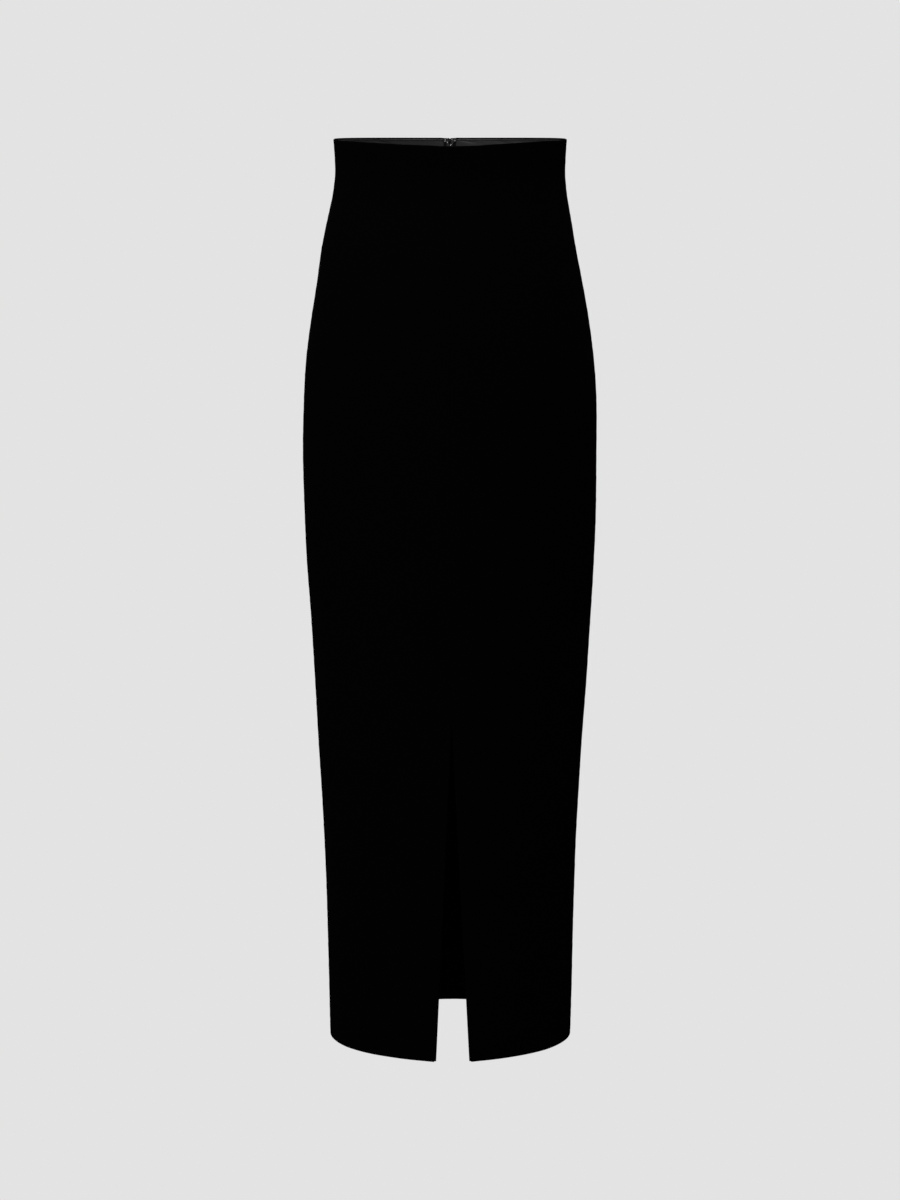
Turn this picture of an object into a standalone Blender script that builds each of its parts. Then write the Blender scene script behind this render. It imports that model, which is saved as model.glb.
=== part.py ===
"""High-waisted pencil skirt of floor length, in its worn form, with a front slit and a zip at the back.

Metres, +Z up. The front faces -Y and the wearer's left is +X. The origin is the middle of the waist, at the
narrowest ring, where a wearer holds the skirt up. Each cloth piece is an open sheet with a Solidify wall.
The sheets are lofted through the rings of SECTIONS, which are measured down from the top edge.
"""

import math
from collections import namedtuple

import bmesh
import bpy
from mathutils import Matrix, Vector

# ---------------------------------------------------------------- driving sizes
LENGTH = 1.000  # side seam, from the top edge to the hem
WAIST_DROP = 0.034  # the narrowest ring lies this far below the top edge
TOP_DIP = 0.0037  # the top edge is this much lower at the centres than at the sides
DIP_FADE = 0.100  # that dip has faded out this far down

CLOTH = 0.0010  # wall of the outer cloth, the facing and the zip tape
FOLD_GAP = 0.0005  # air between a turned edge and the cloth that it lies on
SEAM_GAP = 0.0003  # air between two pieces at a seam
HEM_TURN = 0.0200  # hem turned up
SLIT_TURN = 0.0200  # cloth turned back along the slit
SLIT_LEAD = 0.0030  # how far above the slit the last joined row lies
FACING_DEPTH = 0.0600  # waist facing, below the top edge

SLIT_LENGTH = 0.380
SLIT_WIDTH = 0.0367  # how far the slit stands open at the hem
CENTRE_DRIFT = 0.0030  # the centre front line wanders this far to +X on its way to the hem

ZIP_LENGTH = 0.283  # below the top edge
CHAIN_TOP, CHAIN_END = 0.0075, 0.277  # drops of the closed coil's ends
TAPE_EDGE = 0.00095  # tape starts this far from the centre back
TAPE_REACH = 0.0063  # and shows to here, where the facing begins
CHAIN_HALF = 0.0018
CHAIN_WALL = 0.0016
SLIDER_DROP = 0.0016  # the slider's top, below the top edge
SLIDER_SOFTNESS, STOP_SOFTNESS = 0.00015, 0.0003  # bevels of the metal

PULL_LENGTH = 0.0220  # of the tab, from its hinge to its tip
PULL_WALL = 0.0009
PULL_BAR = 0.00045  # half the thickness of the bar that turns in the bridge
PULL_EYE_HALF, PULL_EYE_DEPTH = 0.00115, 0.0046  # half width, and reach below the hinge
PULL_SHOULDER, PULL_BELLY = 0.0022, 0.0030  # half widths at the tab's top and round its tip
PULL_TIP_STEPS = 10
HINGE_OUT, HINGE_UP = 0.00215, -0.0043  # the hinge, in the slider's frame

# The slider's boxes, in millimetres across, out from and up the centre back, from the slider's top.
Box = namedtuple("Box", "name low high joining")
SLIDER_BODY = Box("zip_slider", (-3.0, -5.6, -9.5), (3.0, -2.8, 0.0), None)
SLIDER_BOXES = (
    Box("chain_way", (-2.1, -4.7, -10.0), (2.1, -2.0, -5.5), "DIFFERENCE"),
    Box("neck", (-0.6, -3.4, -5.2), (0.6, 0.8, -1.0), "UNION"),
    Box("plate", (-1.5, 0.4, -7.5), (1.5, 1.1, 0.0), "UNION"),
    Box("bridge", (-0.7, 0.9, -6.2), (0.7, 4.0, -1.4), "UNION"),
    Box("bridge_eye", (-1.8, 1.3, -5.4), (1.8, 3.2, -2.2), "DIFFERENCE"),
)
SLIDER_SHOULDER = 1.35  # the body is this much wider at its top than at its mouth
STOP_BODY = Box("zip_stop", (-2.3, -5.0, -4.0), (2.3, -2.9, 0.0), None)

# Each row is a ring, measured from the skirt's middle. The wearer's right is -X.
Section = namedtuple("Section", "place drop right left front back")
SECTIONS = (
    Section("top edge", 0.000, 0.1251, 0.1251, 0.0885, 0.0865),
    Section("waist", 0.034, 0.1235, 0.1238, 0.0860, 0.0830),
    Section("below the waist", 0.060, 0.1264, 0.1262, 0.0880, 0.0860),
    Section("high hip", 0.087, 0.1322, 0.1310, 0.0925, 0.0930),
    Section("curve of the hip", 0.119, 0.1388, 0.1365, 0.0975, 0.1030),
    Section("belly", 0.152, 0.1439, 0.1430, 0.1015, 0.1120),
    Section("mid hip", 0.195, 0.1509, 0.1509, 0.1050, 0.1230),
    Section("seat", 0.239, 0.1566, 0.1569, 0.1065, 0.1310),
    Section("full hip", 0.283, 0.1594, 0.1599, 0.1065, 0.1345),
    Section("top of the thigh", 0.349, 0.1608, 0.1601, 0.1050, 0.1345),
    Section("thigh", 0.438, 0.1582, 0.1592, 0.1035, 0.1310),
    Section("above the knee", 0.561, 0.1508, 0.1528, 0.1030, 0.1285),
    Section("knee", 0.674, 0.1452, 0.1455, 0.1040, 0.1275),
    Section("calf", 0.789, 0.1397, 0.1399, 0.1055, 0.1272),
    Section("hem", LENGTH, 0.1350, 0.1353, 0.1070, 0.1280),
)

# How far the centre back edges stand apart round the slider's neck.
Parting = namedtuple("Parting", "drop half_gap")
ZIP_PARTING = (Parting(0.0, 0.0020), Parting(CHAIN_TOP, 0.0012), Parting(0.013, SEAM_GAP / 2))

WAIST_ROWS = (0.018, 0.047)  # drops of more rows, where the cloth curves in and out at the waist
PANEL_COLUMNS = 9  # quads from a side seam to just short of a centre line
ROW_STEP = 0.058  # longest quad up the cloth
TURN_STEPS = 3  # quads round a folded edge

# ---------------------------------------------------------------- worked-out sizes
SLIT_DROP = LENGTH - SLIT_LENGTH
TURN_RADIUS = (CLOTH + FOLD_GAP) / 2  # of a fold, at the middle of the cloth
TURN_REACH = TURN_RADIUS + CLOTH / 2  # from a fold's outer edge to where the flat cloth begins
OUTER_INSET = CLOTH / 2  # middle of the outer cloth, in from the skirt's surface
INNER_INSET = OUTER_INSET + 2 * TURN_RADIUS  # middle of a turned edge, the facing and the tape
INNER_TOP = TURN_REACH + 2 * SEAM_GAP  # drop of the top of the facing and the tape, below the roll
CHAIN_INSET = INNER_INSET + CLOTH / 2 + SEAM_GAP + CHAIN_WALL / 2
LEFT, RIGHT = 1, -1

SURFACES = {  # name: (colour, roughness, metallic)
    "black_crepe": ((0.006, 0.006, 0.007), 0.85, 0.0),
    "charcoal_satin": ((0.030, 0.030, 0.032), 0.45, 0.0),
    "zip_tape": ((0.010, 0.010, 0.011), 0.80, 0.0),
    "zip_nylon": ((0.012, 0.012, 0.013), 0.35, 0.0),
    "black_nickel": ((0.120, 0.120, 0.125), 0.30, 1.0),
}


# ---------------------------------------------------------------- the skirt's surface
def smooth_step(share):
    share = min(max(share, 0.0), 1.0)
    return share * share * (3 - 2 * share)


def blended(rows, column, drop):
    """The named column at this drop, on a smooth curve through every row."""
    last = len(rows) - 1
    i = max(n for n in range(last) if rows[n].drop <= drop or n == 0)
    value = [getattr(row, column) for row in rows]
    place = [row.drop for row in rows]

    def slope(n):
        before, after = max(n - 1, 0), min(n + 1, last)
        return (value[after] - value[before]) / (place[after] - place[before])

    span = place[i + 1] - place[i]
    t = (drop - place[i]) / span
    return (
        (2 * t**3 - 3 * t**2 + 1) * value[i]
        + (t**3 - 2 * t**2 + t) * span * slope(i)
        + (3 * t**2 - 2 * t**3) * value[i + 1]
        + (t**3 - t**2) * span * slope(i + 1)
    )


def straight(rows, column, drop):
    """The named column at this drop, on straight lines between the rows."""
    for above, below in zip(rows, rows[1:]):
        if drop <= below.drop:
            share = max(0.0, (drop - above.drop) / (below.drop - above.drop))
            return getattr(above, column) * (1 - share) + getattr(below, column) * share
    return getattr(rows[-1], column)


def half_width(drop, side):
    return blended(SECTIONS, "left" if side == LEFT else "right", drop)


def on_ring(angle, drop):
    """A point of the outer surface. Angle 0 is the left side seam, and 90 degrees the centre back."""
    side = LEFT if math.cos(angle) >= 0 else RIGHT
    depth = blended(SECTIONS, "back" if math.sin(angle) >= 0 else "front", drop)
    dip = TOP_DIP * math.sin(angle) ** 2 * (1 - smooth_step(drop / DIP_FADE))
    return Vector(
        (
            half_width(drop, side) * math.cos(angle),
            depth * math.sin(angle),
            WAIST_DROP - drop - dip,
        )
    )


def outward(angle, drop):
    step = 1e-4
    around = on_ring(angle + step, drop) - on_ring(angle - step, drop)
    low, high = min(drop + step, LENGTH), max(drop - step, 0.0)
    upward = on_ring(angle, high) - on_ring(angle, low)
    return around.cross(upward).normalized()


def inside(angle, drop, inset):
    """The point that lies inset below the outer surface, at this angle and drop."""
    return on_ring(angle, drop) - inset * outward(angle, drop)


def angle_of(x, drop, back):
    """The angle at which the ring of this drop passes x, on its back or its front half."""
    angle = math.acos(x / half_width(drop, LEFT if x >= 0 else RIGHT))
    return angle if back else 2 * math.pi - angle


# ---------------------------------------------------------------- edges of the cut
def centre_x(drop, back):
    return 0.0 if back else CENTRE_DRIFT * drop / LENGTH


def half_gap(drop, back):
    """Half the space between the left and the right piece at a centre line."""
    if back:
        return straight(ZIP_PARTING, "half_gap", drop)
    open_share = max(0.0, (drop - SLIT_DROP) / SLIT_LENGTH)
    return SEAM_GAP / 2 + open_share * (SLIT_WIDTH - SEAM_GAP) / 2


def column_angles(side, drop, back, margin):
    """The angles of a panel's columns, from the side seam to margin short of the centre edge.

    The last column is narrow, so that the zip tape and the slit's fold lie flat against it.
    """
    seam = (0.0 if back else 2 * math.pi) if side == LEFT else math.pi
    toward_centre = 1 if back == (side == LEFT) else -1
    seam += toward_centre * (SEAM_GAP / 2) / blended(SECTIONS, "back" if back else "front", drop)
    middle = centre_x(drop, back)
    near = angle_of(middle + side * (TAPE_REACH + half_gap(drop, back)), drop, back)
    edge = angle_of(middle + side * (half_gap(drop, back) + margin), drop, back)
    return [seam + (near - seam) * n / PANEL_COLUMNS for n in range(PANEL_COLUMNS + 1)] + [edge]


def fold_path():
    """(how far past the flat cloth, inset) for each point round a folded edge, both ends left out."""
    turn = [math.pi * n / TURN_STEPS for n in range(1, TURN_STEPS)]
    return [
        (TURN_RADIUS * math.sin(a), OUTER_INSET + TURN_RADIUS * (1 - math.cos(a))) for a in turn
    ]


def main_drops(extra):
    """Drops of the flat cloth's rows, from just under the top fold to just above the hem fold."""
    ends = {TURN_REACH, LENGTH - TURN_REACH}
    fixed = sorted(ends | {s.drop for s in SECTIONS[1:-1]} | set(WAIST_ROWS) | set(extra))
    drops = []
    for above, below in zip(fixed, fixed[1:]):
        count = math.ceil((below - above) / ROW_STEP)
        drops += [above + (below - above) * n / count for n in range(count)]
    return drops + fixed[-1:]


def zip_drops(first, last):
    """Rows for what lies inside the back, level with the back panels' own rows."""
    rows = {CHAIN_TOP, CHAIN_END, *WAIST_ROWS}
    rows |= {row.drop for row in SECTIONS + ZIP_PARTING}
    return [first, *sorted(drop for drop in rows if first < drop < last), last]


def panel_rows(extra):
    """(drop, inset) of each row of a panel, from the rolled top edge round to the turned-up hem."""
    top = [(TURN_REACH, INNER_INSET)]
    top += [(TURN_REACH - past, inset) for past, inset in reversed(fold_path())]
    flat = [(drop, OUTER_INSET) for drop in main_drops(extra)]
    hem = [(LENGTH - TURN_REACH + past, inset) for past, inset in fold_path()]
    hem += [(LENGTH - TURN_REACH, INNER_INSET), (LENGTH - HEM_TURN, INNER_INSET)]
    return top + flat + hem


# ---------------------------------------------------------------- making objects
def collection_of(name):
    found = bpy.data.collections.new(name)
    bpy.context.scene.collection.children.link(found)
    return found


def material_of(name):
    found = bpy.data.materials.get(name)
    if found is None:
        colour, roughness, metallic = SURFACES[name]
        found = bpy.data.materials.new(name)
        found.use_nodes = True
        shader = found.node_tree.nodes["Principled BSDF"]
        shader.inputs["Base Color"].default_value = (*colour, 1.0)
        shader.inputs["Roughness"].default_value = roughness
        shader.inputs["Metallic"].default_value = metallic
    return found


def sheet_object(name, grid, wall, surface, parts):
    """An object whose open sheet runs through grid, rows of points or None, with a wall centred on it."""
    mesh = bpy.data.meshes.new(name)
    sheet = bmesh.new()
    made = [[point and sheet.verts.new(point) for point in row] for row in grid]
    for row, lower in zip(made, made[1:]):
        for a, b, c, d in zip(row, lower, lower[1:], row[1:]):
            if a and b and c and d:
                sheet.faces.new((a, b, c, d))
    bmesh.ops.recalc_face_normals(sheet, faces=sheet.faces)
    sheet.to_mesh(mesh)
    sheet.free()
    mesh.shade_smooth()
    mesh.materials.append(material_of(surface))
    piece = bpy.data.objects.new(name, mesh)
    parts.objects.link(piece)
    shell = piece.modifiers.new("wall", "SOLIDIFY")
    shell.thickness = wall
    shell.offset = 0.0
    shell.use_even_offset = True
    return piece


def box_object(box, place, into):
    """A box between its two corners, given in millimetres of the frame place."""
    bpy.ops.mesh.primitive_cube_add(size=1)
    piece = bpy.context.object
    piece.name = box.name
    low, high = Vector(box.low) / 1000, Vector(box.high) / 1000
    scale = Matrix.Diagonal((*(high - low), 1.0))
    piece.data.transform(Matrix.Translation((low + high) / 2) @ scale)
    piece.matrix_world = place
    for owner in piece.users_collection:
        owner.objects.unlink(piece)
    into.objects.link(piece)
    return piece


def combine(piece, other, joining):
    """Adds a Boolean of other to piece, and hides other."""
    step = piece.modifiers.new(other.name, "BOOLEAN")
    step.object = other
    step.operation = joining
    other.hide_render = True
    other.display_type = "WIRE"


def metal(piece, softness):
    """Gives a hard piece its finish and softened edges."""
    piece.data.materials.append(material_of("black_nickel"))
    soft = piece.modifiers.new("edges", "BEVEL")
    soft.width = softness
    soft.segments = 1
    soft.limit_method = "ANGLE"


# ---------------------------------------------------------------- cloth pieces
def slit_columns(side, drop):
    """Points of the cloth that is folded back along the slit, at one drop."""
    edge = centre_x(drop, False) + side * half_gap(drop, False)
    path = [(TURN_REACH - past, inset) for past, inset in fold_path()]
    path += [(TURN_REACH, INNER_INSET), (SLIT_TURN, INNER_INSET)]
    return [
        inside(angle_of(edge + side * along, drop, False), drop, inset) for along, inset in path
    ]


def panel(name, side, back, parts):
    """A quarter of the skirt, with its top rolled in, its hem turned up and its slit edge turned back."""
    lowest_turn = LENGTH - HEM_TURN - CLOTH / 2 - SEAM_GAP
    if back:
        extra = zip_drops(CHAIN_TOP, ZIP_LENGTH)
    else:
        extra = [SLIT_DROP - SLIT_LEAD, SLIT_DROP, lowest_turn]
    grid = []
    for drop, inset in panel_rows(extra):
        folded = not back and inset == OUTER_INSET and SLIT_DROP <= drop <= lowest_turn
        beside_slit = not back and drop >= SLIT_DROP
        margin = TURN_REACH if beside_slit else 0.0
        angles = column_angles(side, drop, back, margin)
        row = [inside(angle, drop, inset) for angle in angles]
        row += slit_columns(side, drop) if folded else [None] * (TURN_STEPS + 1)
        grid.append(row)
    return sheet_object(name, grid, CLOTH, "black_crepe", parts)


def inner_strip(name, edges, drops, wall, inset, surface, columns, parts):
    """A strip inside the skirt. edges(drop) gives its two edges as angles."""
    grid = []
    for drop in drops:
        start, end = edges(drop)
        angles = [start + (end - start) * n / columns for n in range(columns + 1)]
        grid.append([inside(angle, drop, inset) for angle in angles])
    return sheet_object(name, grid, wall, surface, parts)


def facings(parts):
    """The waist facing: one piece across the front, and one on each side of the zip."""
    drops = zip_drops(INNER_TOP, FACING_DEPTH)
    seam = SEAM_GAP / 2 / SECTIONS[0].back

    def front(drop):
        return math.pi + seam, 2 * math.pi - seam

    def back_left(drop):
        return seam, angle_of(TAPE_REACH + SEAM_GAP, drop, True)

    def back_right(drop):
        return math.pi - seam, angle_of(-TAPE_REACH - SEAM_GAP, drop, True)

    columns = 2 * PANEL_COLUMNS
    look = (CLOTH, INNER_INSET, "charcoal_satin")
    inner_strip("facing_front", front, drops, *look, columns, parts)
    inner_strip("facing_back_left", back_left, drops, *look, PANEL_COLUMNS, parts)
    inner_strip("facing_back_right", back_right, drops, *look, PANEL_COLUMNS, parts)


# ---------------------------------------------------------------- the zip
def zip_tapes(parts):
    drops = zip_drops(INNER_TOP, ZIP_LENGTH)
    for name, side in (("zip_tape_left", LEFT), ("zip_tape_right", RIGHT)):

        def edges(drop, side=side):
            return angle_of(side * TAPE_EDGE, drop, True), angle_of(side * TAPE_REACH, drop, True)

        inner_strip(name, edges, drops, CLOTH, INNER_INSET, "zip_tape", 1, parts)


def zip_chain(parts):
    """The closed coil, as one plain bar. It starts inside the slider's chain way."""

    def edges(drop):
        return angle_of(CHAIN_HALF, drop, True), angle_of(-CHAIN_HALF, drop, True)

    drops = zip_drops(CHAIN_TOP, CHAIN_END)
    inner_strip("zip_chain", edges, drops, CHAIN_WALL, CHAIN_INSET, "zip_nylon", 2, parts)


def frame_at(drop):
    """A frame on the centre back: X to the wearer's left, Y out of the cloth, Z up the cloth."""
    out = outward(math.pi / 2, drop)
    across = Vector((1, 0, 0))
    up = across.cross(out)
    turned = Matrix((across, out, up)).transposed().to_4x4()
    return Matrix.Translation(on_ring(math.pi / 2, drop)) @ turned


def zip_slider(parts, helpers):
    """A channel round the chain inside, a neck between the panels, and a bridge for the pull outside."""
    place = frame_at(SLIDER_DROP)
    slider = box_object(SLIDER_BODY, place, parts)
    for corner in slider.data.vertices[:]:
        corner.co.x *= SLIDER_SHOULDER if corner.co.z >= SLIDER_BODY.high[2] / 1000 else 1.0
    for box in SLIDER_BOXES:
        combine(slider, box_object(box, place, helpers), box.joining)
    metal(slider, SLIDER_SOFTNESS)


def zip_stop(parts):
    stop = box_object(STOP_BODY, frame_at(CHAIN_END + SEAM_GAP), parts)
    metal(stop, STOP_SOFTNESS)


def tear_outline():
    """The tab's outline, hanging down from the hinge: square shoulders, then a round tip."""
    tip = [math.pi * n / PULL_TIP_STEPS for n in range(PULL_TIP_STEPS + 1)]
    middle = PULL_BELLY - PULL_LENGTH
    lower = [(PULL_BELLY * math.cos(a), middle - PULL_BELLY * math.sin(a)) for a in tip]
    return [(-PULL_SHOULDER, PULL_BAR), (PULL_SHOULDER, PULL_BAR), *lower]


def zip_pull(parts):
    """A drop-shaped tab, hanging plumb. Its origin is on the hinge, which runs along X."""
    half, top, bottom = PULL_EYE_HALF, -PULL_BAR, -PULL_EYE_DEPTH
    eye = [(-half, top), (half, top), (half, bottom), (-half, bottom)]
    shape = bpy.data.curves.new("pull_outline", "CURVE")
    shape.dimensions = "2D"
    shape.fill_mode = "BOTH"
    shape.extrude = PULL_WALL / 2
    for outline in (tear_outline(), eye):
        spline = shape.splines.new("POLY")
        spline.points.add(len(outline) - 1)
        for point, (x, up) in zip(spline.points, outline):
            point.co = (x, up, 0.0, 1.0)
        spline.use_cyclic_u = True
    shape.materials.append(material_of("black_nickel"))
    pull = bpy.data.objects.new("zip_pull", shape)
    parts.objects.link(pull)
    hinge = frame_at(SLIDER_DROP) @ Vector((0.0, HINGE_OUT, HINGE_UP))
    pull.matrix_world = Matrix.Translation(hinge) @ Matrix.Rotation(math.pi / 2, 4, "X")


# ---------------------------------------------------------------- the whole
def main():
    for old in list(bpy.data.objects):
        bpy.data.objects.remove(old, do_unlink=True)
    parts = collection_of("pencil_skirt")
    helpers = collection_of("boolean_helpers")
    panel("front_left", LEFT, False, parts)
    panel("front_right", RIGHT, False, parts)
    panel("back_left", LEFT, True, parts)
    panel("back_right", RIGHT, True, parts)
    facings(parts)
    zip_tapes(parts)
    zip_chain(parts)
    zip_slider(parts, helpers)
    zip_stop(parts)
    zip_pull(parts)


main()
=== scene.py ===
"""Looks of the black pencil skirt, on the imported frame: fine cloth, seams, stitches and the zip.

Metres, +Z up, as in the frame: the front faces -Y and the wearer's left is +X. Each cloth piece is a
grid over the skirt's surface, which SECTIONS gives, with the soft relief of CREASES on it. A place on it
is an angle round the skirt and a drop below the top edge. UVs are in metres of cloth.
"""

import math
from collections import namedtuple

import bpy
import numpy as np
from mathutils import Matrix, Vector


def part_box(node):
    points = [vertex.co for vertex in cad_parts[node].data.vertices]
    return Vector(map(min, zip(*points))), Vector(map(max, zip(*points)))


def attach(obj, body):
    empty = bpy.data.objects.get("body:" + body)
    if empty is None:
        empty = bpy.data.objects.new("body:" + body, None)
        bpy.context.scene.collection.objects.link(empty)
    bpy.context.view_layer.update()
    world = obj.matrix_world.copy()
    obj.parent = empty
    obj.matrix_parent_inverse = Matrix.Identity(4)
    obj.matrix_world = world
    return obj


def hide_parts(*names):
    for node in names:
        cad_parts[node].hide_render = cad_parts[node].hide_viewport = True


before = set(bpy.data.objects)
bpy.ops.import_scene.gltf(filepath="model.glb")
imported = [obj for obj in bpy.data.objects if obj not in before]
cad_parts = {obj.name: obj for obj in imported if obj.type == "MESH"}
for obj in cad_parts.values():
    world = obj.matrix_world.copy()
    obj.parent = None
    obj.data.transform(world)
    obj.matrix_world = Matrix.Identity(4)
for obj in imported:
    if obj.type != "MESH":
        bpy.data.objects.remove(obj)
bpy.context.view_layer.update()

MM = 0.001
LEFT, RIGHT = 1, -1
SIDES = (("left", LEFT), ("right", RIGHT))

# ------------ the cut, as in the frame
LENGTH = 1.0  # side seam, from the top edge to the hem
WAIST_DROP = 0.034  # the frame's origin is at this ring
DIP_FADE = 0.1  # the top edge dips at the centres, and the dip fades out below
BACK_DIP, BACK_DIP_SHAPE = 0.0036, 1.5  # the shape is the dip's power of the sine of the angle
FRONT_DIP, FRONT_DIP_SHAPE = 0.0023, 5.0
FRONT_RISE = {LEFT: 0.0007, RIGHT: 0.0002}  # of the front's top edge, halfway from side to centre
CLOTH = 0.001
FOLD_GAP = 0.0005
HEM_TURN = 0.02
SLIT_TURN = 0.02
FACING_DEPTH = 0.06
SLIT_LENGTH = 0.38
SLIT_WIDTH = 0.0367
CENTRE_DRIFT = 0.003  # the centre front line wanders this far to +X on its way to the hem
SLIDER_DROP = 0.0016  # of the slider's top
SLIDER_TILT = math.radians(4)  # of its inner plate, which leans in the slack tapes
ZIP_LENGTH, CHAIN_TOP, CHAIN_END = 0.283, 0.0075, 0.277

# The back panels stand apart round the slider's neck: (drop, half the gap).
ZIP_PARTING = (
    (0.0, 0.0014), (0.0005, 0.0009), (0.001, 0.0004), (0.0015, 0.0001),
    (0.0026, 0.001), (CHAIN_TOP, 0.001), (0.013, 0.0),
)

Section = namedtuple("Section", "place drop right left front back")
SECTIONS = [Section(*row) for row in (
    ("top edge", 0.0, 0.1251, 0.1251, 0.0885, 0.0865),
    ("waist", 0.034, 0.1235, 0.1238, 0.086, 0.083),
    ("under the waist", 0.06, 0.1264, 0.1262, 0.088, 0.086),
    ("high hip", 0.087, 0.1322, 0.131, 0.0925, 0.093),
    ("hip curve", 0.119, 0.1388, 0.1365, 0.0975, 0.103),
    ("belly", 0.152, 0.1439, 0.143, 0.1015, 0.112),
    ("mid hip", 0.195, 0.1509, 0.1509, 0.105, 0.123),
    ("seat", 0.239, 0.1566, 0.1569, 0.1065, 0.131),
    ("full hip", 0.283, 0.1594, 0.1599, 0.1065, 0.1345),
    ("upper thigh", 0.349, 0.1608, 0.1601, 0.105, 0.1345),
    ("thigh", 0.438, 0.1582, 0.1592, 0.1035, 0.131),
    ("above the knee", 0.561, 0.1508, 0.1528, 0.103, 0.1285),
    ("knee", 0.674, 0.1452, 0.1455, 0.104, 0.1275),
    ("calf", 0.789, 0.1397, 0.1399, 0.1055, 0.1272),
    ("hem", LENGTH, 0.135, 0.1353, 0.107, 0.128),
)]

SLIT_DROP = LENGTH - SLIT_LENGTH
TURN_RADIUS = (CLOTH + FOLD_GAP) / 2  # of a fold, at the middle of the cloth
TURN_REACH = TURN_RADIUS + CLOTH / 2  # from a fold's outer edge to where the flat cloth begins
OUTER_INSET = CLOTH / 2  # middle of the outer cloth, in from the skirt's surface
INNER_INSET = OUTER_INSET + 2 * TURN_RADIUS  # middle of a turned edge, the facing and the tape
HEM_TURN_DROP = LENGTH - HEM_TURN

# ------------ how the cloth is worked
SEAM_HALF_GAP = 0.00006  # from a panel's edge to its seam line
SEAM_ROLL = 0.0015  # the cloth rolls into a seam over this width
SEAM_DEPTH = 0.00042  # and this deep
PUCKER = 0.00014  # height of the ripples along a seam
PUCKER_REACH = 0.012
PUCKER_WAVES, PUCKER_FINE = (410, 137, 773), 0.4  # radians a metre, and the share of the last
SIDE_PHASE, DART_PHASE, CENTRE_PHASE = 0.7, 1.6, 2.1  # of the ripples along each seam
SLIT_PUCKER = 0.3  # share of the ripples that is left beside the slit
DART_SHARE = {False: 0.5, True: 0.53}  # from the side seam to the centre, on the front and the back
DART_END = {False: 0.13, True: 0.165}  # drop of a dart's point
DART_DEPTH, DART_HALF, DART_SHAPE, DART_FADE = 0.00055, 0.0014, 1.5, 0.03
LIP_ROLL, LIP_DEPTH = 0.0024, 0.0005  # of the cloth's roll over the zip
TURN_MARK, TURN_MARK_HALF = 0.00012, 0.0016  # height and half width of a turned edge's mark
BACK_UV_SHIFT = 0.4  # keeps the back's weave apart from the front's
# Sags of the top edge, which end over their edge across and over SAG_FADE down.
SAG_FADE = 0.012
TopSag = namedtuple("TopSag", "place on_back x half_width edge height")
TOP_SAGS = (
    TopSag("beside the zip", True, -0.0012, 0.009, 0.0045, 0.0004),
    TopSag("centre front", False, 0.01, 0.031, 0.012, 0.0005),
)
HEM_SAG = 0.0005  # the cloth has dropped this much at the hem
CORNER_SAG = 0.0017  # and this much more at the slit's corners
CORNER_REACH = 0.022
FINE = 0.0042  # size of the cloth's quads

# Soft relief of the hanging cloth. Angle 0 is at the left side seam, 90 centre back, 270 centre front.
# Height is outward, so a trough's is negative. Lean is its slope, in metres round for each metre down.
Crease = namedtuple("Crease", "place angle drop half_width half_length height lean", defaults=[0])
CREASES = [Crease(*row) for row in (
    ("left waist drag", 338, 0.06, 0.03, 0.006, 0.0005),
    ("right waist drag", 205, 0.055, 0.026, 0.006, 0.0004),
    ("left waist fullness", 0, 0.012, 0.04, 0.03, 0.0007),
    ("right waist fullness", 180, 0.012, 0.04, 0.03, 0.0004),
    ("right hip fullness", 180, 0.1, 0.05, 0.055, 0.0009),
    ("left thigh fullness", 0, 0.62, 0.05, 0.09, 0.0007),
    ("right thigh fullness", 180, 0.47, 0.05, 0.04, 0.0006),
    ("left hip trough", 312, 0.33, 0.016, 0.11, -0.0007, 0.1),
    ("right hip trough", 226, 0.37, 0.017, 0.12, -0.0007, -0.08),
    ("left thigh fall", 300, 0.64, 0.017, 0.21, 0.0008, 0.05),
    ("left knee trough", 318, 0.76, 0.015, 0.19, -0.0009, -0.03),
    ("right thigh fall", 238, 0.62, 0.018, 0.2, 0.0008, -0.04),
    ("right knee trough", 219, 0.74, 0.015, 0.21, -0.001, 0.03),
    ("left hem swell", 290, 0.93, 0.016, 0.11, 0.0006),
    ("right hem swell", 247, 0.92, 0.017, 0.12, 0.0006),
    ("left small of back", 66, 0.072, 0.034, 0.0075, 0.001),
    ("right small of back", 116, 0.088, 0.038, 0.009, 0.0011),
    ("left seat drag", 58, 0.128, 0.03, 0.011, -0.0008),
    ("right seat drag", 124, 0.146, 0.028, 0.012, -0.0008),
    ("under left seat", 70, 0.405, 0.034, 0.02, -0.0014),
    ("under right seat", 112, 0.432, 0.038, 0.023, -0.0016),
    ("seat hollow", 90, 0.44, 0.036, 0.07, -0.0014),
    ("left seat fall", 62, 0.56, 0.019, 0.18, 0.0019, 0.05),
    ("right seat fall", 121, 0.58, 0.02, 0.19, 0.0018, -0.06),
    ("left back trough", 41, 0.69, 0.017, 0.2, -0.002, -0.03),
    ("right back trough", 140, 0.72, 0.017, 0.19, -0.0018, 0.03),
    ("behind left knee", 66, 0.66, 0.024, 0.018, -0.0009),
    ("behind right knee", 112, 0.682, 0.026, 0.02, -0.001),
    ("back hem swell", 84, 0.92, 0.022, 0.14, 0.0014, 0.02),
    ("left back hem", 56, 0.95, 0.017, 0.12, -0.0014),
    ("right back hem", 117, 0.94, 0.017, 0.13, -0.0013),
)]
MEAN_RADIUS = 0.138  # turns an angle into metres round

Ripple = namedtuple("Ripple", "waves_round waves_down phase height")
RIPPLES = (
    Ripple(5, 1.3, 0.4, 0.00022),
    Ripple(-7, 2.1, 2.0, 0.00018),
    Ripple(11, -3.2, 4.1, 0.00011),
    Ripple(-16, 5.3, 1.2, 0.00007),
    Ripple(3, 9.0, 5.0, 0.00006),
)
RIPPLE_FADE = 0.1  # the ripples fade in over this drop


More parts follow.
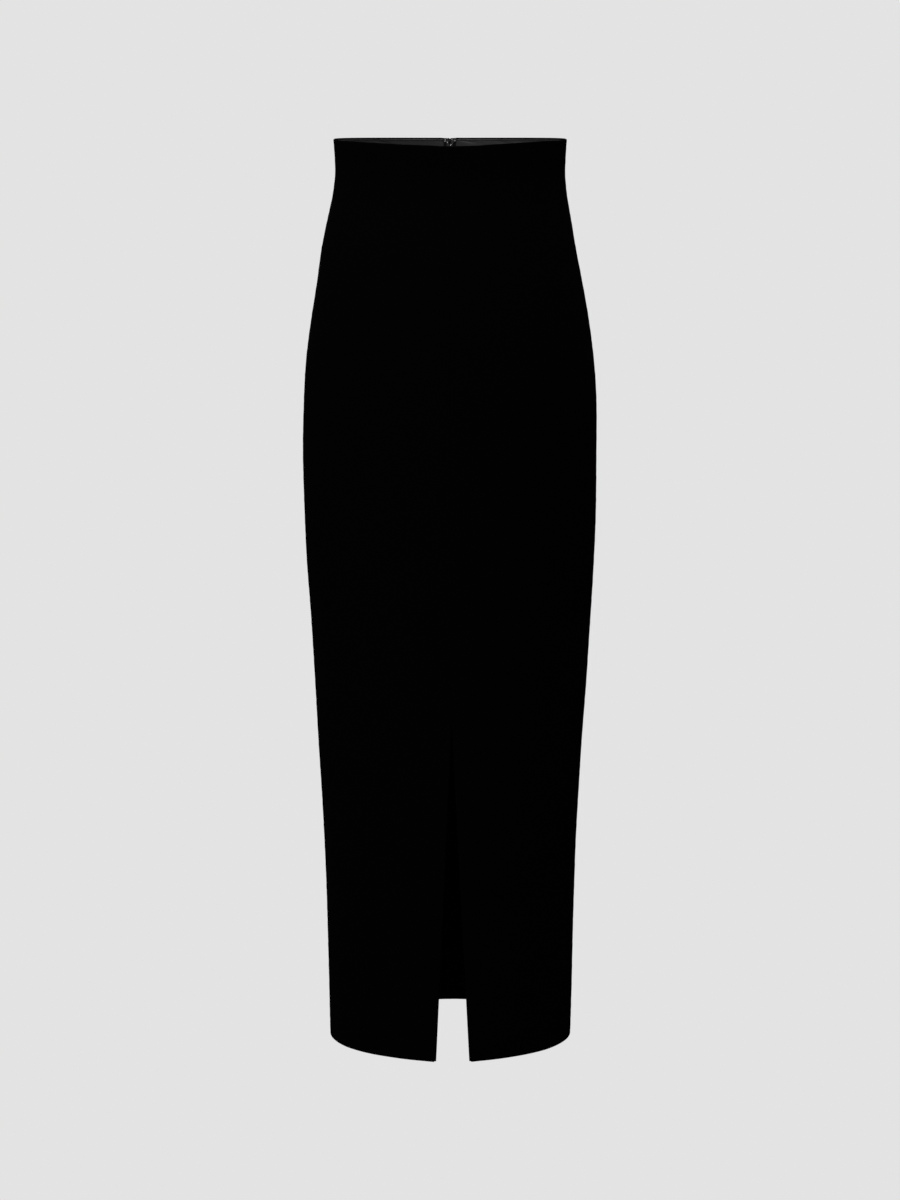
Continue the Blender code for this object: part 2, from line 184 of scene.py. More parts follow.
# ------------ the skirt's surface
def smooth_step(share):
    share = np.clip(share, 0.0, 1.0)
    return share * share * (3 - 2 * share)


def blended(column, drop):
    """A column of SECTIONS at these drops, on the same smooth curve as in the frame."""
    place = np.array([row.drop for row in SECTIONS])
    value = np.array([getattr(row, column) for row in SECTIONS])
    after = np.minimum(np.arange(len(place)) + 1, len(place) - 1)
    before = np.maximum(np.arange(len(place)) - 1, 0)
    slope = (value[after] - value[before]) / (place[after] - place[before])
    i = np.clip(np.searchsorted(place, drop, "right") - 1, 0, len(place) - 2)
    span = place[i + 1] - place[i]
    t = (drop - place[i]) / span
    return (
        (2 * t**3 - 3 * t**2 + 1) * value[i]
        + (t**3 - 2 * t**2 + t) * span * slope[i]
        + (3 * t**2 - 2 * t**3) * value[i + 1]
        + (t**3 - t**2) * span * slope[i + 1]
    )


def half_width(drop, on_left):
    return np.where(on_left, blended("left", drop), blended("right", drop))


def centre_x(drop, back):
    return 0.0 * drop if back else CENTRE_DRIFT * drop / LENGTH


def half_slit(drop):
    return np.maximum(0.0, (drop - SLIT_DROP) / SLIT_LENGTH) * SLIT_WIDTH / 2


def on_ring(angle, drop):
    """Points of the smooth outer surface, without its relief."""
    angle, drop = np.broadcast_arrays(np.asarray(angle, float), np.asarray(drop, float))
    across, out = np.cos(angle), np.sin(angle)
    x = half_width(drop, across >= 0) * across
    y = np.where(out >= 0, blended("back", drop), blended("front", drop)) * out
    front_rise = np.where(across >= 0, FRONT_RISE[LEFT], FRONT_RISE[RIGHT]) * 4 * (across * out) ** 2
    front_dip = FRONT_DIP * np.abs(out) ** FRONT_DIP_SHAPE - front_rise
    dip = np.where(out >= 0, BACK_DIP * np.abs(out) ** BACK_DIP_SHAPE, front_dip)
    dip = dip * (1 - smooth_step(drop / DIP_FADE))
    for s in TOP_SAGS:
        share = smooth_step((s.half_width - np.abs(x - s.x)) / s.edge) * ((out > 0) == s.on_back)
        dip = dip + s.height * share * (1 - smooth_step(drop / SAG_FADE))
    from_slit = np.abs(x - centre_x(drop, False)) - half_slit(drop)
    near_slit = np.exp(-np.maximum(from_slit, 0.0) / CORNER_REACH) * (out < 0)
    dip = dip + (HEM_SAG + CORNER_SAG * near_slit) * smooth_step((drop - SLIT_DROP) / SLIT_LENGTH)
    return np.stack([x, y, WAIST_DROP - drop - dip], -1)


def outward(angle, drop):
    step = 1e-4
    around = on_ring(angle + step, drop) - on_ring(angle - step, drop)
    upward = on_ring(angle, drop - step) - on_ring(angle, drop + step)
    normal = np.cross(around, upward)
    return normal / np.linalg.norm(normal, axis=-1, keepdims=True)


def relief(angle, drop):
    """How far the hanging cloth stands out from its smooth surface."""
    turns = angle / math.tau
    height = np.zeros(np.broadcast(angle, drop).shape)
    for c in CREASES:
        from_middle = (turns - c.angle / 360 + 0.5) % 1.0 - 0.5
        down = drop - c.drop
        across = from_middle * math.tau * MEAN_RADIUS - c.lean * down
        height += c.height * np.exp(-((across / c.half_width) ** 2) - (down / c.half_length) ** 2)
    calm = smooth_step(drop / RIPPLE_FADE)
    for r in RIPPLES:
        wave = np.sin(math.tau * (r.waves_round * turns + r.waves_down * drop) + r.phase)
        height += r.height * calm * wave
    return height


def skin(angle, drop, inset):
    """Points that lie inset below the outer surface of the hanging cloth."""
    lift = relief(angle, drop) - inset
    return on_ring(angle, drop) + lift[..., None] * outward(angle, drop)


def angle_of(x, drop, back):
    """The angle at which the ring of this drop passes x, on its back or its front half."""
    angle = np.arccos(np.clip(x / half_width(drop, x >= 0), -1, 1))
    return angle if back else math.tau - angle


def beside_side_seam(side, back, drop, distance):
    """The angle at a distance from a panel's side seam, toward its centre edge."""
    toward_centre = 1 if back == (side == LEFT) else -1
    seam = (0.0 if back else math.tau) if side == LEFT else math.pi
    return seam + toward_centre * distance / blended("back" if back else "front", drop)


def beside_centre(side, back, drop, distance):
    """The angle at a distance from the centre line, on a panel's side of it."""
    return angle_of(centre_x(drop, back) + side * distance, drop, back)


def place_at(drop):
    """A frame on the centre back: X to the wearer's left, Y out of the cloth, Z up the cloth."""
    angle = np.array([math.pi / 2])
    out = Vector(outward(angle, np.array([drop]))[0])
    across = Vector((1, 0, 0))
    turned = Matrix((across, out, across.cross(out))).transposed().to_4x4()
    return Matrix.Translation(Vector(on_ring(angle, np.array([drop]))[0])) @ turned


# ------------ making pieces
CLOTH_UV = "cloth_metres"  # the cloth's UV layer


def ride(piece, material, body="skirt", node=None):
    """Puts a finished piece on its body, with its material, in place of a node of the frame."""
    piece.data.materials.append(material)
    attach(piece, body)
    if node:
        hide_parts(node)
    return piece


def new_object(name, data):
    made = bpy.data.objects.new(name, data)
    bpy.context.scene.collection.objects.link(made)
    return made


def mesh_piece(name, points, faces):
    mesh = bpy.data.meshes.new(name)
    mesh.from_pydata(points.tolist(), [], faces)
    mesh.shade_smooth()
    return new_object(name, mesh)


def cloth_piece(name, points, uv, wall, usable=None):
    """A thin shell through a grid of points. usable says which of its quads are cloth."""
    rows, columns = points.shape[:2]
    index = np.arange(rows * columns).reshape(rows, columns)
    quads = np.stack([index[:-1, :-1], index[1:, :-1], index[1:, 1:], index[:-1, 1:]], -1)
    used, quads = np.unique(quads if usable is None else quads[usable], return_inverse=True)
    quads = quads.reshape(-1, 4)
    piece = mesh_piece(name, points.reshape(-1, 3)[used], quads.tolist())
    layer = piece.data.uv_layers.new(name=CLOTH_UV)
    layer.data.foreach_set("uv", uv.reshape(-1, 2)[used][quads.ravel()].ravel())
    shell = piece.modifiers.new("wall", "SOLIDIFY")
    shell.thickness = wall
    shell.offset = 0.0
    shell.use_even_offset = True
    return piece


def lengths_along(points):
    """Metres of cloth from a grid's first column, along each of its rows."""
    steps = np.linalg.norm(np.diff(points, axis=1), axis=-1)
    return np.concatenate([np.zeros((len(points), 1)), np.cumsum(steps, axis=1)], axis=1)


def spaced(start, end, step):
    """Values from start to end, a step or less apart."""
    return np.linspace(start, end, max(2, math.ceil(abs(end - start) / step) + 1))


def rows_down(start, runs):
    """Drops of rows from a start, through runs of (end, step)."""
    drops = [start]
    for end, step in runs:
        drops.extend(spaced(drops[-1], end, step)[1:])
    return np.array(drops)


# ------------ the outer cloth
PRESSED = 0.78  # a fold's power of the sine and cosine: 1 is round, and less is squarer
FOLD_STEPS = 10
TOP_TURN = 0.0004  # the cloth goes this far past its roll at the top, to its seam with the facing
FACING_SINK = 0.00045  # that seam lies this much deeper than the facing's face
FACING_TOP = TURN_REACH + TOP_TURN
HEM_CLEAR = 1.8 * TURN_REACH  # the turned-up hem ends this far from the slit's edge
PANEL_RUNS = (  # of rows: (end, step)
    (0.016, 0.0018),
    (SLIT_DROP - 0.006, FINE),
    (SLIT_DROP + 0.01, 0.0015),
    (HEM_TURN_DROP - 0.004, FINE),
    (HEM_TURN_DROP + 0.004, 0.001),
    (LENGTH - TURN_REACH, 0.0025),
)
HEM_STEP, SLIT_STEP = 0.003, 0.0035  # of the grid, on the turned-up hem and the slit's fold

# Columns of a panel, in metres from a seam or a dart. The regular ones keep clear of both.
PANEL_WIDTH = 0.2  # near enough
BESIDE_SEAM = (0.0004, 0.0009, 0.0015, 0.0023, 0.0034, 0.0046, 0.0058, 0.007, 0.0086)
BESIDE_DART = (-0.003, -0.0018, -0.0012, -0.0006, 0, 0.0006, 0.0012, 0.0018, 0.003)
CLEAR_OF_SEAM, CLEAR_OF_DART = 0.01, 0.0032


def rolled(start, end):
    """(reach past the flat cloth, inset) of the cloth's middle round a pressed fold, between two turns."""
    turn = np.linspace(start, end, FOLD_STEPS + 1)
    reach = np.abs(np.sin(turn)) ** PRESSED
    across = np.sign(np.cos(turn)) * np.abs(np.cos(turn)) ** PRESSED
    return TURN_RADIUS * reach, OUTER_INSET + TURN_RADIUS * (1 - across)


def panel_rows():
    """(drop, inset) of each row of a panel, from the rolled top edge round to the turned-up hem."""
    past, inset = rolled(math.pi, 0)
    top = [(FACING_TOP - JOIN_GAP, INNER_INSET - FACING_SINK), *zip(TURN_REACH - past, inset)]
    flat = [(drop, OUTER_INSET) for drop in rows_down(TURN_REACH, PANEL_RUNS)[1:-1]]
    past, inset = rolled(0, math.pi)
    hem = list(zip(LENGTH - TURN_REACH + past, inset))
    upward = spaced(LENGTH - TURN_REACH, HEM_TURN_DROP, HEM_STEP)[1:]
    return np.array(top + flat + hem + [(drop, INNER_INSET) for drop in upward])


def panel_shares(back):
    """Places across a panel, from 0 at the side seam to 1 at its centre edge, close together at seams."""
    seam, dart = np.array(BESIDE_SEAM) / PANEL_WIDTH, np.array(BESIDE_DART) / PANEL_WIDTH
    regular = spaced(0, 1, FINE / PANEL_WIDTH)
    off_dart = np.abs(regular - DART_SHARE[back]) > CLEAR_OF_DART / PANEL_WIDTH
    off_seam = np.abs(regular - 0.5) < 0.5 - CLEAR_OF_SEAM / PANEL_WIDTH
    shares = [[0, 1], regular[off_dart & off_seam], seam, 1 - seam, DART_SHARE[back] + dart]
    return np.sort(np.concatenate(shares))


def seam_inset(distance, reach=SEAM_ROLL, depth=SEAM_DEPTH):
    """How much deeper the cloth lies beside a seam, where it rolls in."""
    return depth * np.clip(1 - distance / reach, 0, 1) ** 2


def pucker(distance, drop, phase):
    """The height of the ripples along a seam, at a distance from it."""
    first, second, fine = PUCKER_WAVES
    wave = np.sin(drop * first + phase) * np.sin(drop * second + 2 * phase)
    return PUCKER * (wave + PUCKER_FINE * np.sin(drop * fine)) * np.exp(-distance / PUCKER_REACH)


def panel(name, side, back, material):
    """A panel's outer cloth, its grid, and which quads of the grid are cloth."""
    rows = panel_rows()
    drop, inset = rows[:, :1], rows[:, 1:]
    shares = panel_shares(back)
    slit_row = (drop >= SLIT_DROP) & (not back)
    turned_row = (inset > OUTER_INSET) & (drop > SLIT_DROP)
    margin = np.where(slit_row, TURN_REACH, SEAM_HALF_GAP)
    margin = np.where(turned_row & slit_row, HEM_CLEAR, margin)
    gap = zip_parting(drop) if back else half_slit(drop)
    seam = beside_side_seam(side, back, drop, SEAM_HALF_GAP)
    angle = seam + shares * (beside_centre(side, back, drop, gap + margin) - seam)
    drop = np.broadcast_to(drop, angle.shape)
    u = lengths_along(on_ring(angle, drop))

    from_side, from_centre = u, u[:, -1:] - u
    dart_place = np.argmin(np.abs(shares - DART_SHARE[back]))
    from_dart = np.abs(u - u[:, dart_place : dart_place + 1])
    dart_fade = smooth_step((DART_END[back] - drop) / DART_FADE)
    dart = DART_DEPTH * np.clip(1 - from_dart / DART_HALF, 0, 1) ** DART_SHAPE
    zip_row = (drop < ZIP_LENGTH) & back
    roll, roll_depth = np.where(zip_row, LIP_ROLL, SEAM_ROLL), np.where(zip_row, LIP_DEPTH, SEAM_DEPTH)
    centre_seam = np.where(slit_row, 0, seam_inset(from_centre, roll, roll_depth))
    depth = inset + seam_inset(from_side) + dart_fade * dart + centre_seam
    depth = depth - pucker(from_side, drop, SIDE_PHASE) - pucker(from_dart, drop, DART_PHASE) * dart_fade
    depth = depth - pucker(from_centre, drop, CENTRE_PHASE) * np.where(slit_row, SLIT_PUCKER, 1)
    if not back:
        depth = depth - slit_row * turn_mark(from_centre + TURN_REACH - SLIT_TURN)
    depth = depth - turn_mark(drop - HEM_TURN_DROP)

    points = skin(angle, drop, depth)
    steps = np.hypot(*np.diff(rows, axis=0).T)
    down = np.concatenate([[0], np.cumsum(steps)])[:, None]
    uv = np.stack([u * side + (BACK_UV_SHIFT if back else 0.0), np.broadcast_to(-down, u.shape)], -1)
    usable = np.ones((len(rows) - 1, points.shape[1] - 1), bool)
    if not back:
        points, uv, usable = add_slit_fold(points, uv, usable, rows, side)
    piece = cloth_piece(name + "_cloth", points, uv, CLOTH, usable)
    return ride(piece, material, node=name), points, usable


def turn_mark(distance):
    """The faint ridge that a turned edge presses through the outer cloth."""
    return TURN_MARK * np.exp(-((distance / TURN_MARK_HALF) ** 2))


def zip_parting(drop):
    """Half the gap between the back panels."""
    return np.interp(drop, *zip(*ZIP_PARTING))


def add_slit_fold(points, uv, usable, rows, side):
    """Adds the columns of the cloth that is folded back along the slit."""
    past, fold_inset = (values[1:] for values in rolled(0, math.pi))
    along = np.concatenate([TURN_REACH - past, spaced(TURN_REACH, SLIT_TURN, SLIT_STEP)[1:]])
    inset = np.concatenate([fold_inset, np.full(len(along) - len(past), INNER_INSET)])
    drop = rows[:, :1]
    extra = skin(beside_centre(side, False, drop, half_slit(drop) + along), drop, inset)
    extra_u = uv[:, -1:, 0] + side * (np.arange(1, len(along) + 1) * SLIT_TURN / len(along))[None, :]
    extra_uv = np.stack([extra_u, np.broadcast_to(uv[:, -1:, 1], extra_u.shape)], -1)
    on_flat = (rows[:-1, 1] == OUTER_INSET) & (rows[1:, 1] == OUTER_INSET) & (rows[:-1, 0] >= SLIT_DROP)
    lip = np.arange(len(along)) < len(past)
    above_hem = rows[1:, 0] <= HEM_TURN_DROP - CLOTH
    folded = on_flat[:, None] & (lip[None, :] | above_hem[:, None])
    return (
        np.concatenate([points, extra], axis=1),
        np.concatenate([uv, extra_uv], axis=1),
        np.concatenate([usable, folded], axis=1),
    )


# ------------ the inner cloth
INNER_FACE = INNER_INSET + CLOTH / 2  # inset of the inner side of the facing and the turned edges
TAPE_TOP = FACING_TOP + 0.0001
TAPE_EDGE, TAPE_REACH = 0.00095, 0.0063  # of a zip tape, from the centre back
TAPE_WALL = 0.0008
TAPE_RUNS, TAPE_STEP = ((0.012, 0.0015), (ZIP_LENGTH, 0.004)), 0.0006
FACING_RUNS = ((0.006, 0.0003), (0.016, 0.001), (FACING_DEPTH, 0.004))
FACING_STEP = 0.0022  # between its columns
JOIN_GAP = 0.0002  # between inner pieces that are sewn together
FACING_ROLL = 0.0012  # the facing rolls back to its seam with the outer cloth
FACING_PUFF = 0.00032  # and stands in between that seam and the understitching
UNDERSTITCH_DROP, UNDERSTITCH_DENT, UNDERSTITCH_HALF = 0.0036, 0.00008, 0.0005  # its groove
EDGE_START, EDGE_END = 0.0005, 0.012  # of a pressed-open seam edge, from its seam
EDGE_ROW_STEP, EDGE_STEP = 0.008, 0.003
EDGE_WALL = 0.0005
EDGE_INSET = CLOTH + JOIN_GAP + EDGE_WALL / 2

# Soft diagonal creases of the back facing, from start to end. Height is inward, so a hollow's is negative.
FacingCrease = namedtuple("FacingCrease", "place start_x start_drop end_x end_drop half_width height")
FACING_CREASES = (
    FacingCrease("right of the back", -0.088, 0.001, -0.055, 0.011, 0.0016, -0.00045),
    FacingCrease("beside the zip", -0.02, 0.0, -0.008, 0.006, 0.0011, -0.00035),
    FacingCrease("other side of the zip", 0.008, 0.002, 0.03, 0.006, 0.0012, -0.0003),
    FacingCrease("left of the back", 0.05, 0.003, 0.09, 0.014, 0.002, -0.0004),
)


def strip(name, start, end, drop, inset, wall, step, bulge=None):
    """A strip on the skirt's inside, and its grid. start and end are its sides' angles at each drop."""
    width = float(np.abs((end - start) * MEAN_RADIUS).max())
    angle = start + (end - start) * spaced(0, 1, step / width)
    angle, drop = np.broadcast_arrays(angle, drop)
    points = skin(angle, drop, inset if bulge is None else inset + bulge(angle, drop))
    uv = np.stack([lengths_along(points), -drop], -1)
    return cloth_piece(name, points, uv, wall), points


def facing_bulge(angle, drop):
    """How far the facing's relief stands in from its flat place."""
    height = -UNDERSTITCH_DENT * np.exp(-(((drop - UNDERSTITCH_DROP) / UNDERSTITCH_HALF) ** 2))
    height = height - FACING_SINK * np.clip(1 - (drop - FACING_TOP) / FACING_ROLL, 0, 1) ** 2
    below_seam = np.clip((drop - FACING_TOP) / (UNDERSTITCH_DROP - FACING_TOP), 0, 1)
    height = height + FACING_PUFF * np.sin(math.pi * below_seam)
    place = on_ring(angle, drop)
    for c in FACING_CREASES:
        run, fall = c.end_x - c.start_x, c.end_drop - c.start_drop
        length = math.hypot(run, fall)
        from_start = ((place[..., 0] - c.start_x) * run + (drop - c.start_drop) * fall) / length
        aside = ((place[..., 0] - c.start_x) * fall - (drop - c.start_drop) * run) / length
        along = np.clip(from_start / length, 0, 1)
        crease = c.height * 4 * along * (1 - along) * np.exp(-((aside / c.half_width) ** 2))
        height = height + crease * (place[..., 1] > 0)
    return height


def facings(material):
    drop = rows_down(FACING_TOP, FACING_RUNS)[:, None]
    join = JOIN_GAP / SECTIONS[0].back
    left, right = (angle_of(side * (TAPE_REACH + JOIN_GAP), drop, True) for side in (LEFT, RIGHT))
    for name, start, end in (
        ("facing_front", math.pi + join, math.tau - join),
        ("facing_back_left", join, left),
        ("facing_back_right", math.pi - join, right),
    ):
        place = (start, end, drop, INNER_INSET)
        piece, points = strip(name + "_cloth", *place, CLOTH, FACING_STEP, facing_bulge)
        ride(piece, material, node=name)


def seam_edges(name, side, back, cloth, sewing):
    """The overlocked, pressed-open edges of a panel's seams that show inside, below the facing."""
    top, bottom = FACING_DEPTH + MM, HEM_TURN_DROP - MM
    centre_run = (ZIP_LENGTH + MM, bottom) if back else (top, SLIT_DROP - MM)
    face = EDGE_INSET + EDGE_WALL / 2 + THREAD
    pieces = []
    for place, beside, run in (
        ("side", beside_side_seam, (top, bottom)),
        ("centre", beside_centre, centre_run),
    ):
        drop = spaced(*run, EDGE_ROW_STEP)[:, None]
        near, far = (beside(side, back, drop, reach) for reach in (EDGE_START, EDGE_END))
        where = (near, far, drop, EDGE_INSET)
        edge, _ = strip(f"{name}_{place}_edge", *where, EDGE_WALL, EDGE_STEP)
        drop = np.arange(*run, OVERLOCK_PITCH)
        near, far = (beside(side, back, drop, reach) for reach in (EDGE_START, EDGE_END))
        inner = far + OVERLOCK_REACH / EDGE_END * (near - far)
        zigzag = overlock(f"{name}_{place}_overlock", (far, drop, face), (inner, drop + MM, face))
        pieces += [ride(edge, cloth), ride(zigzag, sewing)]
    return pieces


# ------------ threads and stitches
THREAD = 0.00013  # half thickness of sewing thread
STITCH_SHARE = 0.8  # of its pitch that a stitch shows
STITCH_ARCH = 1.6  # rise of its middle over its ends, in half thicknesses
STITCH_PITCH = 0.0028
OVERLOCK_PITCH, OVERLOCK_REACH, OVERLOCK_SLANT = 0.0022, 0.0036, 0.004  # the slant in radians round
BLIND_PITCH, BLIND_LENGTH, BLIND_SLANT = 0.008, 0.003, 0.012
BLIND_BELOW = 0.4  # share of a blind stitch that lies below the turned hem's edge
SLIT_STITCH_GAP = 0.002  # the slit's overlocking keeps this far from its ends
TACK_TURNS, TACK_WIDTH, TACK_HEIGHT = 26, 0.008, 0.003  # of the dense zigzag above the slit
TAPE_SEAM, TAPE_SEAM_RUN = 0.0047, (0.012, ZIP_LENGTH - 0.004)  # from the centre back, and down it

# Rows round the skirt, from their first bearing to their last in degrees. An overlocked row also has its
# edge's drop, and 1 where the cloth lies below that edge or -1 where it lies above.
UNDERSTITCH_ROW = (96, 444)
OVERLOCK_ROWS = (
    ("facing_overlock", 94.5, 445.5, FACING_DEPTH, -1),
    ("hem_overlock_left", 279, 449.5, HEM_TURN_DROP, 1),
    ("hem_overlock_right", 90.5, 261, HEM_TURN_DROP, 1),
)
BLIND_ROWS = (("blind_hem_left", 281, 448), ("blind_hem_right", 92, 259))


def tubes(name, paths, normals, radius, sides=5):
    """One mesh of round threads, with as many points each. normals point away from the cloth."""
    along = np.gradient(paths, axis=1)
    along /= np.linalg.norm(along, axis=-1, keepdims=True)
    across = np.cross(along, normals)
    across /= np.linalg.norm(across, axis=-1, keepdims=True)
    up = np.cross(across, along)
    turn = (np.arange(sides) * math.tau / sides)[:, None]
    ring = radius * (np.cos(turn) * across[..., None, :] + np.sin(turn) * up[..., None, :])
    points = paths[..., None, :] + ring
    count, length = paths.shape[:2]
    index = np.arange(count * length * sides).reshape(count, length, sides)
    after = np.roll(index, -1, axis=2)
    quads = np.stack([index[:, :-1], after[:, :-1], after[:, 1:], index[:, 1:]], -1).reshape(-1, 4)
    caps = np.concatenate([index[:, 0, ::-1], index[:, -1]])
    return mesh_piece(name, points.reshape(-1, 3), quads.tolist() + caps.tolist())


def stitch_row(name, angle, drop, inset, bulge=None):
    """Stitches along the stations of a row, on the cloth's inner face, that dip into it at both ends."""
    reach = np.linspace(-0.5, 0.5, 6)[None, :]
    angles = angle[:, None] + reach * STITCH_SHARE * np.gradient(angle)[:, None]
    drops = drop[:, None] + reach * STITCH_SHARE * np.gradient(drop)[:, None]
    depth = inset + THREAD * (STITCH_ARCH * np.cos(reach * math.pi) - 1.0)
    if bulge is not None:
        depth = depth + bulge(angles, drops)
    return tubes(name, skin(angles, drops, depth), -outward(angles, drops), THREAD)


def overlock(name, edge, inner):
    """A zigzag of thread over a raw edge, from turns at it and inside it: each (angles, drops, inset)."""
    edge, inner = np.broadcast_arrays(*edge), np.broadcast_arrays(*inner)
    angle, drop, inset = (np.stack(turns, axis=1).ravel() for turns in zip(edge, inner))
    return tubes(name, skin(angle, drop, inset)[None], -outward(angle, drop)[None], THREAD, 4)


def round_row(first, last, pitch):
    """Angles from one bearing to another, in degrees, a pitch apart on the skirt."""
    return np.radians(np.arange(first, last, math.degrees(pitch / MEAN_RADIUS)))


def stitches(material):
    """All the stitches but those of the seam edges."""
    angle = round_row(*UNDERSTITCH_ROW, STITCH_PITCH)
    drop = np.full(angle.shape, UNDERSTITCH_DROP)
    made = [stitch_row("understitching", angle, drop, INNER_FACE, facing_bulge)]

    for name, first, last, edge_drop, toward in OVERLOCK_ROWS:
        angle = round_row(first, last, OVERLOCK_PITCH)
        edge = (angle, edge_drop - toward * 2 * THREAD, INNER_FACE)
        inner = (angle + OVERLOCK_SLANT, edge_drop + toward * OVERLOCK_REACH, INNER_FACE + THREAD)
        made.append(overlock(name, edge, inner))

    for name, first, last in BLIND_ROWS:
        angle = round_row(first, last, BLIND_PITCH)[:, None] + np.linspace(0, BLIND_SLANT, 4)
        share = np.linspace(0, 1, 4)
        drop = HEM_TURN_DROP + BLIND_LENGTH * (BLIND_BELOW - share)
        depth = np.where(share < 0.5, INNER_FACE, CLOTH) + THREAD
        made.append(tubes(name, skin(angle, drop, depth), -outward(angle, drop), THREAD))

    for word, side in SIDES:
        drop = np.arange(SLIT_DROP + SLIT_STITCH_GAP, HEM_TURN_DROP - SLIT_STITCH_GAP, OVERLOCK_PITCH)
        fold = half_slit(drop) + SLIT_TURN
        outer, inner = (beside_centre(side, False, drop, fold - reach) for reach in (0, OVERLOCK_REACH))
        edge, inner = (outer, drop, INNER_FACE), (inner, drop + MM, INNER_FACE + THREAD)
        made.append(overlock(f"slit_overlock_{word}", edge, inner))

    turn = np.arange(TACK_TURNS)
    drop = SLIT_DROP - TACK_HEIGHT / 2 + (turn % 2) * TACK_HEIGHT
    angle = angle_of(centre_x(drop, False) + (turn / (TACK_TURNS - 1) - 0.5) * TACK_WIDTH, drop, False)
    path = skin(angle, drop, EDGE_INSET + EDGE_WALL / 2 + 2 * THREAD)
    made.append(tubes("slit_tack", path[None], -outward(angle, drop)[None], 1.5 * THREAD))

    drop = np.arange(*TAPE_SEAM_RUN, STITCH_PITCH)
    for word, side in SIDES:
        angle = angle_of(side * TAPE_SEAM, drop, True)
        made.append(stitch_row(f"tape_stitches_{word}", angle, drop, INNER_INSET + TAPE_WALL / 2))
    for piece in made:
        ride(piece, material)


# ------------ the zip
CHAIN_INSET = 0.0036  # middle of the closed coil, in from the skirt's surface
TOOTH_PITCH = 0.00115
COIL_START, COIL_END = CHAIN_TOP + 0.0006, CHAIN_END - 0.0004
COIL_MIDDLE, COIL_REACH = 0.00075, 0.00105  # of a loop, across from the zip's middle line
COIL_DEPTH, COIL_SLANT = 0.00048, 0.00022  # half a loop's depth, and how far down it leads
COIL_THREAD = 0.0003  # half thickness of its nylon


def zip_tapes(material):
    """The two tapes, by side."""
    drop = rows_down(TAPE_TOP, TAPE_RUNS)[:, None]
    made = {}
    for word, side in SIDES:
        name = f"zip_tape_{word}"
        near, far = (angle_of(side * x, drop, True) for x in (TAPE_EDGE, TAPE_REACH))
        piece, _ = strip(name + "_cloth", near, far, drop, INNER_INSET, TAPE_WALL, TAPE_STEP)
        made[side] = ride(piece, material, node=name)
    return made


def coil(material):
    """The closed nylon coil: on each side, one loop for each tooth, which hooks past the middle."""
    drop = np.arange(COIL_START, COIL_END, TOOTH_PITCH)[:, None]
    turn = np.linspace(0, math.tau, 11)
    loops = []
    for side, shift in ((LEFT, 0.0), (RIGHT, TOOTH_PITCH / 2)):
        x = side * (COIL_MIDDLE + COIL_REACH * np.cos(turn))
        drops = drop + shift + COIL_SLANT * np.sin(turn / 2)
        loops.append(skin(angle_of(x, drops, True), drops, CHAIN_INSET + COIL_DEPTH * np.sin(turn)))
    paths = np.concatenate(loops)
    upward = np.broadcast_to((0.0, 0.0, 1.0), paths.shape)
    ride(tubes("zip_coil", paths, upward, COIL_THREAD), material, node="zip_chain")


def smooth_spline(shape, outline, closed):
    """A soft curve through points in millimetres."""
    spline = shape.splines.new("BEZIER")
    spline.bezier_points.add(len(outline) - 1)
    spline.use_cyclic_u = closed
    for point, place in zip(spline.bezier_points, outline):
        point.co = Vector((*place, 0.0)[:3]) * MM
        point.handle_left_type = point.handle_right_type = "AUTO"


def curve_piece(name, place, **settings):
    shape = bpy.data.curves.new(name, "CURVE")
    for setting, value in settings.items():
        setattr(shape, setting, value)
    piece = new_object(name, shape)
    piece.matrix_world = place
    return piece


def plate(name, outlines, low, high, softness, place):
    """A plate with softened edges, from outlines across and up, between its faces low and high, in mm."""
    middle = Matrix.Translation((0, (low + high) / 2 * MM, 0)) @ Matrix.Rotation(math.pi / 2, 4, "X")
    wall = (high - low) * MM
    piece = curve_piece(
        name, place @ middle, dimensions="2D", fill_mode="BOTH", extrude=wall / 2 - softness * MM,
        bevel_depth=softness * MM, bevel_resolution=2, offset=-softness * MM, resolution_u=6,
    )
    for outline in outlines:
        smooth_spline(piece.data, outline, True)
    return piece


def bar(name, path, radius, place):
    """A round bar along a path of (across, out, up), in millimetres."""
    piece = curve_piece(
        name, place, dimensions="3D", bevel_depth=radius * MM, bevel_resolution=3,
        use_fill_caps=True, resolution_u=8,
    )
    smooth_spline(piece.data, path, False)
    return piece


def mirrored(half):
    """A closed outline, from its half at +X between two points of the middle line."""
    return list(half) + [(-x, up) for x, up in reversed(half) if x > 0]


# In millimetres from the slider's top at the centre back: (across, up) or (across, out, up).
SLIDER_HALF = (
    (0, -9.5), (2.6, -9.4), (3.05, -8.6), (3.2, -6.2), (3.8, -3.9), (4.2, -1.8),
    (4, 0), (3.1, 0.6), (2.1, 0.1), (1.45, -1.2), (1.1, -3.4), (0.7, -4.8), (0, -5.2),
)
RAIL = (
    (2.3, -9.2), (2.9, -9.2), (3.05, -6.4), (3.7, -4),
    (4, -2), (3.4, -1.6), (2.9, -4.2), (2.4, -6.4),
)
CROWN_HALF = ((0, -6), (0.7, -4.6), (0.95, -3.2), (0.6, -2.2), (0, -1.9))
OUTER_PLATE_HALF = ((0, -7.5), (1.2, -7.2), (1.5, -6.3), (1.5, -0.6), (1.2, 0.4), (0, 0.65))
NECK_HALF = ((0, -5.2), (0.6, -4.8), (0.6, -2.4), (0, -2))
RIM_BAR = (
    (2.7, -5.4, -9.3), (2.95, -5.4, -6.3), (3.65, -5.4, -3.8),
    (4.05, -5.4, -1.7), (3.75, -5.4, 0.1), (2.9, -5.4, 0.55),
)
BRIDGE = (
    (0, 0.8, -1.5), (0, 2.9, -1.75), (0, 3.62, -2.9),
    (0, 3.62, -4.7), (0, 2.9, -5.85), (0, 0.8, -6.1),
)
